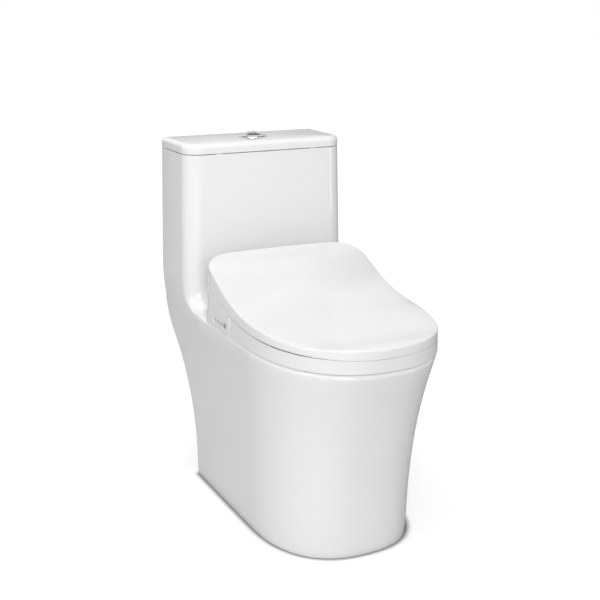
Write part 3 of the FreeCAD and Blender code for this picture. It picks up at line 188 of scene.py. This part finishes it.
# one Principled material fed by one of the groups; plain numbers go straight on the shader
def buildMaterial(name, group, groupValues, shaderValues, bumpStrength, bumpDistance):
    material = bpy.data.materials.new(name)
    material.use_nodes = True
    tree = material.node_tree
    tree.nodes.clear()
    output = addNode(tree, "ShaderNodeOutputMaterial", (500, 0))
    shader = addNode(tree, "ShaderNodeBsdfPrincipled", (200, 0))
    setInputs(shader, shaderValues)
    surface = addNode(tree, "ShaderNodeGroup", (-300, 0))
    surface.node_tree = group
    setInputs(surface, groupValues)
    bump = addNode(tree, "ShaderNodeBump", (-50, -250))
    setInputs(bump, {"Strength": bumpStrength, "Distance": bumpDistance})
    link = tree.links.new
    link(surface.outputs["Colour"], shader.inputs["Base Color"])
    link(surface.outputs["Rough"], shader.inputs["Roughness"])
    link(surface.outputs["Height"], bump.inputs["Height"])
    link(bump.outputs["Normal"], shader.inputs["Normal"])
    link(shader.outputs["BSDF"], output.inputs["Surface"])
    return material


def grey(level, warm=0.0):
    return (level + warm, level, level - warm, 1.0)


glaze = buildMaterial("glazedCeramic", glazeGroup, {
    "Wave Scale": 6.0, "Pit Scale": 1500.0, "Pit Share": 0.004, "Low Rough": 0.10, "High Rough": 0.15,
    "Thin Colour": grey(0.84), "Thick Colour": grey(0.865),
}, {"IOR": 1.5, "Coat Weight": 0.6, "Coat Roughness": 0.04, "Coat IOR": 1.5}, 0.06, 0.002)

glossWhite = buildMaterial("glossSeatPlastic", mouldGroup, {
    "Grain Scale": 2600.0, "Smudge Scale": 9.0, "Low Rough": 0.09, "High Rough": 0.13,
    "Base Colour": grey(0.80), "Tint Colour": grey(0.785),
}, {"IOR": 1.49, "Coat Weight": 0.25, "Coat Roughness": 0.06}, 0.02, 0.00004)

satinWhite = buildMaterial("satinWhitePlastic", mouldGroup, {
    "Grain Scale": 1500.0, "Smudge Scale": 14.0, "Low Rough": 0.32, "High Rough": 0.42,
    "Base Colour": grey(0.80, 0.004), "Tint Colour": grey(0.77, 0.006),
}, {"IOR": 1.49}, 0.15, 0.00008)

greyPlastic = buildMaterial("greyPlastic", mouldGroup, {
    "Grain Scale": 1300.0, "Smudge Scale": 18.0, "Low Rough": 0.40, "High Rough": 0.52,
    "Base Colour": (0.42, 0.43, 0.45, 1), "Tint Colour": (0.38, 0.39, 0.41, 1),
}, {"IOR": 1.49}, 0.25, 0.0001)

valveWhite = buildMaterial("valvePlastic", mouldGroup, {
    "Grain Scale": 900.0, "Smudge Scale": 26.0, "Low Rough": 0.30, "High Rough": 0.44,
    "Base Colour": (0.78, 0.80, 0.81, 1), "Tint Colour": (0.72, 0.74, 0.74, 1),
}, {"IOR": 1.5, "Subsurface Weight": 0.1, "Subsurface Radius": (0.004, 0.004, 0.004)}, 0.2, 0.0001)

valveBlue = buildMaterial("blueValvePlastic", mouldGroup, {
    "Grain Scale": 900.0, "Smudge Scale": 26.0, "Low Rough": 0.30, "High Rough": 0.42,
    "Base Colour": (0.06, 0.20, 0.42, 1), "Tint Colour": (0.05, 0.16, 0.36, 1),
}, {"IOR": 1.5}, 0.2, 0.0001)

rubberWhite = buildMaterial("whiteRubber", mouldGroup, {
    "Grain Scale": 700.0, "Smudge Scale": 40.0, "Low Rough": 0.55, "High Rough": 0.70,
    "Base Colour": grey(0.70, 0.006), "Tint Colour": grey(0.64, 0.01),
}, {"IOR": 1.5}, 0.3, 0.0001)

rubberBlack = buildMaterial("blackRubber", mouldGroup, {
    "Grain Scale": 800.0, "Smudge Scale": 35.0, "Low Rough": 0.55, "High Rough": 0.75,
    "Base Colour": grey(0.020), "Tint Colour": grey(0.034),
}, {"IOR": 1.5}, 0.35, 0.00015)

keyPlastic = buildMaterial("keyPlastic", mouldGroup, {
    "Grain Scale": 2400.0, "Smudge Scale": 60.0, "Low Rough": 0.28, "High Rough": 0.36,
    "Base Colour": grey(0.50), "Tint Colour": grey(0.46),
}, {"IOR": 1.49}, 0.1, 0.00003)

stopKeyPlastic = buildMaterial("stopKeyPlastic", mouldGroup, {
    "Grain Scale": 2400.0, "Smudge Scale": 60.0, "Low Rough": 0.30, "High Rough": 0.38,
    "Base Colour": grey(0.36), "Tint Colour": grey(0.32),
}, {"IOR": 1.49}, 0.1, 0.00003)

markInk = buildMaterial("keyMarkInk", mouldGroup, {
    "Grain Scale": 3000.0, "Smudge Scale": 90.0, "Low Rough": 0.45, "High Rough": 0.60,
    "Base Colour": grey(0.07), "Tint Colour": grey(0.10),
}, {"IOR": 1.45}, 0.1, 0.00002)

boardGreen = buildMaterial("circuitBoard", mouldGroup, {
    "Grain Scale": 500.0, "Smudge Scale": 300.0, "Low Rough": 0.25, "High Rough": 0.5,
    "Base Colour": (0.01, 0.10, 0.04, 1), "Tint Colour": (0.015, 0.16, 0.06, 1),
}, {"IOR": 1.5, "Coat Weight": 0.3}, 0.2, 0.0001)

chrome = buildMaterial("polishedChrome", brushGroup, {
    "Stretch": (500.0, 500.0, 500.0), "Low Rough": 0.06, "High Rough": 0.14,
    "Light Colour": (0.74, 0.745, 0.755, 1), "Dark Colour": (0.60, 0.605, 0.62, 1),
}, {"Metallic": 1.0}, 0.03, 0.00003)

steel = buildMaterial("brushedSteel", brushGroup, {
    "Stretch": (1500.0, 1500.0, 60.0), "Low Rough": 0.22, "High Rough": 0.38,
    "Light Colour": (0.60, 0.60, 0.61, 1), "Dark Colour": (0.48, 0.48, 0.49, 1),
}, {"Metallic": 1.0}, 0.15, 0.00005)

brass = buildMaterial("turnedBrass", brushGroup, {
    "Stretch": (2500.0, 60.0, 60.0), "Low Rough": 0.20, "High Rough": 0.36,
    "Light Colour": (0.68, 0.50, 0.22, 1), "Dark Colour": (0.55, 0.38, 0.15, 1),
}, {"Metallic": 1.0}, 0.15, 0.00005)

foil = buildMaterial("heaterFoil", brushGroup, {
    "Stretch": (70.0, 70.0, 900.0), "Low Rough": 0.25, "High Rough": 0.45,
    "Light Colour": (0.70, 0.70, 0.71, 1), "Dark Colour": (0.58, 0.58, 0.59, 1),
}, {"Metallic": 1.0}, 0.4, 0.0003)

finishes = {
    glaze: ["ceramic_body", "tank_lid"],
    glossWhite: ["lid_shell", "seat_ring_top", "housing_cover", "control_panel", "side_panel"],
    satinWhite: ["seat_ring_bottom", "housing_base", "release_button", "rear_wash_wand", "front_wash_wand",
                 "dryer_flap", "bezel_nut", "mounting_nuts", "water_heater", "solenoid_valve"],
    greyPlastic: ["seat_damper", "lid_damper", "mounting_plate", "nozzle_guide", "fan_casing", "fan_impeller",
                  "dryer_duct", "fill_valve_float"],
    valveWhite: ["push_rod_full", "flush_valve_body", "flush_valve_nut", "flush_canister", "fill_valve",
                 "fill_valve_nut"],
    valveBlue: ["push_rod_half", "flush_valve_head", "fill_valve_cap"],
    rubberWhite: ["tank_lid_pads", "refill_hose", "seat_bumpers", "lid_bumpers"],
    rubberBlack: ["outlet_seal", "flush_valve_gasket", "flush_seal", "fill_valve_gasket", "mounting_bushes",
                  "cord_gland"],
    keyPlastic: ["key_rear_wash", "key_front_wash", "key_dryer"],
    stopKeyPlastic: ["key_stop"],
    boardGreen: ["control_board"],
    chrome: ["flush_button_bezel", "flush_button_half", "flush_button_full"],
    steel: ["hinge_pins", "mounting_bolts"],
    brass: ["water_inlet"],
    foil: ["seat_heater"],
}


facets = {
    "weld": 0.00002,
    "crease": 32,             # degrees; a sharper corner than this stays sharp
}


# welds the loose triangles and shades them smooth up to a crease
def dressNode(name, material):
    piece = bpy.data.objects[name]
    piece.data.materials.clear()
    piece.data.materials.append(material)
    piece.data.polygons.foreach_set("use_smooth", [True] * len(piece.data.polygons))
    weld = piece.modifiers.new("joinFacets", "WELD")
    weld.merge_threshold = facets["weld"]
    split = piece.modifiers.new("creases", "EDGE_SPLIT")
    split.split_angle = math.radians(facets["crease"])


for material, names in finishes.items():
    for name in names:
        dressNode(name, material)

print("key marks")

keyMarks = {
    "size": 0.0017,           # half the height of a mark
    "proud": 0.00010,
    "sunk": 0.00006,
    "steps": 28,
    "squareHalf": 0.62,       # the sizes from here on are shares of half the height
    "drop": (0.85, 1.0, 0.0),
    "smallDrop": (0.7, 0.75, 0.25),
    "dropSlim": 1.3,
    "barHalf": 0.7,
    "barLevels": (-1.0, -0.78),
    "waveHalf": 0.85,
    "waveRise": 0.16,
    "waveThick": 0.10,
    "waveLifts": (-0.62, 0.0, 0.62),
    "ink": {
        "stopMark": ("key_stop", "stop_key", "square"),
        "rearWashMark": ("key_rear_wash", "rear_wash_key", "drop"),
        "frontWashMark": ("key_front_wash", "front_wash_key", "dropOverBar"),
        "dryerMark": ("key_dryer", "dryer_key", "waves"),
    },
}


def squareOutline(half):
    return [(-half, -half), (half, -half), (half, half), (-half, half)]


def dropOutline(wide, tall, lift):
    turns = [2 * math.pi * step / keyMarks["steps"] for step in range(keyMarks["steps"])]
    slim = keyMarks["dropSlim"]
    return [(wide * math.sin(turn) * math.sin(turn / 2) ** slim, lift + tall * math.cos(turn))
            for turn in turns]


def barOutline(half, low, high):
    return [(-half, low), (half, low), (half, high), (-half, high)]


def waveOutline(lift):
    half, rise, thick = keyMarks["waveHalf"], keyMarks["waveRise"], keyMarks["waveThick"]
    along = [half * (2 * step / keyMarks["steps"] - 1) for step in range(keyMarks["steps"] + 1)]
    upper = [(across, lift + thick + rise * math.sin(math.pi * across / half)) for across in along]
    lower = [(across, height - 2 * thick) for across, height in reversed(upper)]
    return upper + lower


def markOutlines(kind):
    if kind == "square":
        return [squareOutline(keyMarks["squareHalf"])]
    if kind == "drop":
        return [dropOutline(*keyMarks["drop"])]
    if kind == "dropOverBar":
        return [dropOutline(*keyMarks["smallDrop"]), barOutline(keyMarks["barHalf"], *keyMarks["barLevels"])]
    return [waveOutline(lift) for lift in keyMarks["waveLifts"]]


# a thin printed film that stands a little proud of the key's outer face
def buildMark(name, node, body, kind):
    low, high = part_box(node)
    middle = ((low[1] + high[1]) / 2, (low[2] + high[2]) / 2)
    bm = bmesh.new()
    for outline in markOutlines(kind):
        ring = [bm.verts.new((low[0] + keyMarks["sunk"], middle[0] + across * keyMarks["size"],
                              middle[1] + up * keyMarks["size"])) for across, up in outline]
        face = bm.faces.new(ring)
        grown = bmesh.ops.extrude_face_region(bm, geom=[face])["geom"]
        moved = [part for part in grown if isinstance(part, bmesh.types.BMVert)]
        bmesh.ops.translate(bm, verts=moved, vec=(-keyMarks["sunk"] - keyMarks["proud"], 0, 0))
    bmesh.ops.recalc_face_normals(bm, faces=bm.faces)
    mesh = bpy.data.meshes.new(name)
    bm.to_mesh(mesh)
    bm.free()
    mesh.materials.append(markInk)
    piece = bpy.data.objects.new(name, mesh)
    bpy.context.collection.objects.link(piece)
    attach(piece, body)


for name, (node, body, kind) in keyMarks["ink"].items():
    buildMark(name, node, body, kind)

print("stage, light and camera")

camera = {
    "place": (-0.9836, -1.9726, 1.0622),
    "azimuth": -26.162,
    "elevation": 15.503,
    "lens": 66.49,
}
cameraData = bpy.data.cameras.new("studioCamera")
cameraData.lens = camera["lens"]
cameraData.sensor_width = 36.0
cameraObject = bpy.data.objects.new("studioCamera", cameraData)
bpy.context.collection.objects.link(cameraObject)
cameraObject.location = camera["place"]
cameraObject.rotation_euler = (math.radians(90 - camera["elevation"]), 0, math.radians(camera["azimuth"]))
bpy.context.scene.camera = cameraObject

stage = {
    "size": 30.0,
    "floorColour": 0.50,
    "nearGlow": 0.60,         # seen only by the camera, so the floor is white there and bounces less light
    "farGlow": 0.85,
    "glowReach": (0.30, 0.75),
    # painted shade along the foot: reach and opening of the ambient occlusion that darkens the floor
    "contactReach": 0.016,
    "contactOpen": (0.5, 0.98),
    "contactDark": 0.12,      # painted shade: share of the floor's colour and glow left in the corner under the foot
    "worldLight": 0.53,
    "mirrorLow": 0.28,        # what reflections see: soft dark and bright patches as in a studio
    "mirrorHigh": 1.0,
    "mirrorScale": 1.7,
    "mirrorEdge": (0.36, 0.62),
}


def buildFloor():
    bm = bmesh.new()
    bmesh.ops.create_grid(bm, x_segments=1, y_segments=1, size=stage["size"] / 2)
    mesh = bpy.data.meshes.new("studioFloor")
    bm.to_mesh(mesh)
    bm.free()
    floor = bpy.data.objects.new("studioFloor", mesh)
    bpy.context.collection.objects.link(floor)
    material = bpy.data.materials.new("studioFloor")
    material.use_nodes = True
    tree = material.node_tree
    tree.nodes.clear()
    output = addNode(tree, "ShaderNodeOutputMaterial", (600, 0))
    diffuse = addNode(tree, "ShaderNodeBsdfDiffuse", (0, 100))
    # painted shade: ambient occlusion darkens the floor's colour and its glow in a thin line along the foot,
    # standing in for the contact shadow
    corner = addNode(tree, "ShaderNodeAmbientOcclusion", (-800, 150), samples=16)
    corner.inputs["Distance"].default_value = stage["contactReach"]
    paintedContactShade = addNode(tree, "ShaderNodeMapRange", (-600, 150))
    setInputs(paintedContactShade, {"From Min": stage["contactOpen"][0], "From Max": stage["contactOpen"][1],
                        "To Min": stage["contactDark"]})
    tree.links.new(corner.outputs["AO"], paintedContactShade.inputs["Value"])
    shade = addNode(tree, "ShaderNodeMath", (-200, 150), operation="MULTIPLY")
    shade.inputs[1].default_value = stage["floorColour"]
    tree.links.new(paintedContactShade.outputs["Result"], shade.inputs[0])
    tree.links.new(shade.outputs[0], diffuse.inputs["Color"])
    glow = addNode(tree, "ShaderNodeEmission", (200, -150))
    place = addNode(tree, "ShaderNodeTexCoord", (-800, -300))
    away = addNode(tree, "ShaderNodeVectorMath", (-600, -300), operation="LENGTH")
    tree.links.new(place.outputs["Object"], away.inputs[0])
    reach = addNode(tree, "ShaderNodeMapRange", (-400, -300), interpolation_type="SMOOTHSTEP")
    setInputs(reach, {"From Min": stage["glowReach"][0], "From Max": stage["glowReach"][1],
                      "To Min": stage["nearGlow"], "To Max": stage["farGlow"]})
    tree.links.new(away.outputs["Value"], reach.inputs["Value"])
    path = addNode(tree, "ShaderNodeLightPath", (-200, -150))
    level = addNode(tree, "ShaderNodeMath", (0, -150), operation="MULTIPLY")
    tree.links.new(path.outputs["Is Camera Ray"], level.inputs[0])
    # the glow is darkened by the same painted contact shade
    glowHere = addNode(tree, "ShaderNodeMath", (-200, -400), operation="MULTIPLY")
    tree.links.new(reach.outputs["Result"], glowHere.inputs[0])
    tree.links.new(paintedContactShade.outputs["Result"], glowHere.inputs[1])
    tree.links.new(glowHere.outputs[0], level.inputs[1])
    tree.links.new(level.outputs[0], glow.inputs["Strength"])
    add = addNode(tree, "ShaderNodeAddShader", (400, 0))
    tree.links.new(diffuse.outputs[0], add.inputs[0])
    tree.links.new(glow.outputs[0], add.inputs[1])
    tree.links.new(add.outputs[0], output.inputs["Surface"])
    mesh.materials.append(material)


def buildWorld():
    world = bpy.data.worlds.new("studioWorld")
    world.use_nodes = True
    bpy.context.scene.world = world
    tree = world.node_tree
    tree.nodes.clear()
    output = addNode(tree, "ShaderNodeOutputWorld", (600, 0))
    background = addNode(tree, "ShaderNodeBackground", (400, 0))
    background.inputs["Color"].default_value = grey(1.0)
    path = addNode(tree, "ShaderNodeLightPath", (-500, 0))
    place = addNode(tree, "ShaderNodeTexCoord", (-900, -300))
    patches = addNode(tree, "ShaderNodeTexNoise", (-700, -300))
    setInputs(patches, {"Scale": stage["mirrorScale"], "Detail": 1.0, "Roughness": 0.4})
    tree.links.new(place.outputs["Generated"], patches.inputs["Vector"])
    mirror = addNode(tree, "ShaderNodeMapRange", (-500, -300), interpolation_type="SMOOTHSTEP")
    setInputs(mirror, {"From Min": stage["mirrorEdge"][0], "From Max": stage["mirrorEdge"][1],
                       "To Min": stage["mirrorLow"], "To Max": stage["mirrorHigh"]})
    tree.links.new(patches.outputs["Fac"], mirror.inputs["Value"])
    shine = addNode(tree, "ShaderNodeMapRange", (-200, -100))
    setInputs(shine, {"To Min": stage["worldLight"]})
    tree.links.new(path.outputs["Is Glossy Ray"], shine.inputs["Value"])
    tree.links.new(mirror.outputs["Result"], shine.inputs["To Max"])
    level = addNode(tree, "ShaderNodeMapRange", (100, 0))
    setInputs(level, {"To Max": 1.0})
    tree.links.new(path.outputs["Is Camera Ray"], level.inputs["Value"])
    tree.links.new(shine.outputs["Result"], level.inputs["To Min"])
    tree.links.new(level.outputs["Result"], background.inputs["Strength"])
    tree.links.new(background.outputs[0], output.inputs["Surface"])


lamps = {
    "keyFront": {"place": (-1.6, -3.2, 1.7), "aim": (0, -0.1, 0.4), "size": (1.3, 1.3), "watts": 62},
    "topSoft": {"place": (-0.3, -0.6, 3.2), "aim": (0, 0, 0.5), "size": (2.0, 2.0), "watts": 25},
    "leftSoft": {"place": (-2.9, -0.3, 2.0), "aim": (0, 0, 0.5), "size": (0.5, 1.6), "watts": 17},
    "rightStrip": {"place": (2.0, -1.75, 0.26), "aim": (0.1, 0.15, 0.5), "size": (0.10, 0.34), "watts": 1.0},
}


def buildLamps():
    for name, lamp in lamps.items():
        data = bpy.data.lights.new(name, "AREA")
        data.shape = "RECTANGLE"
        data.size, data.size_y = lamp["size"]
        data.energy = lamp["watts"]
        thing = bpy.data.objects.new(name, data)
        bpy.context.collection.objects.link(thing)
        thing.location = lamp["place"]
        thing.visible_camera = False
        away = Vector(lamp["place"]) - Vector(lamp["aim"])
        thing.rotation_euler = away.to_track_quat("Z", "Y").to_euler()


buildFloor()
buildWorld()
buildLamps()
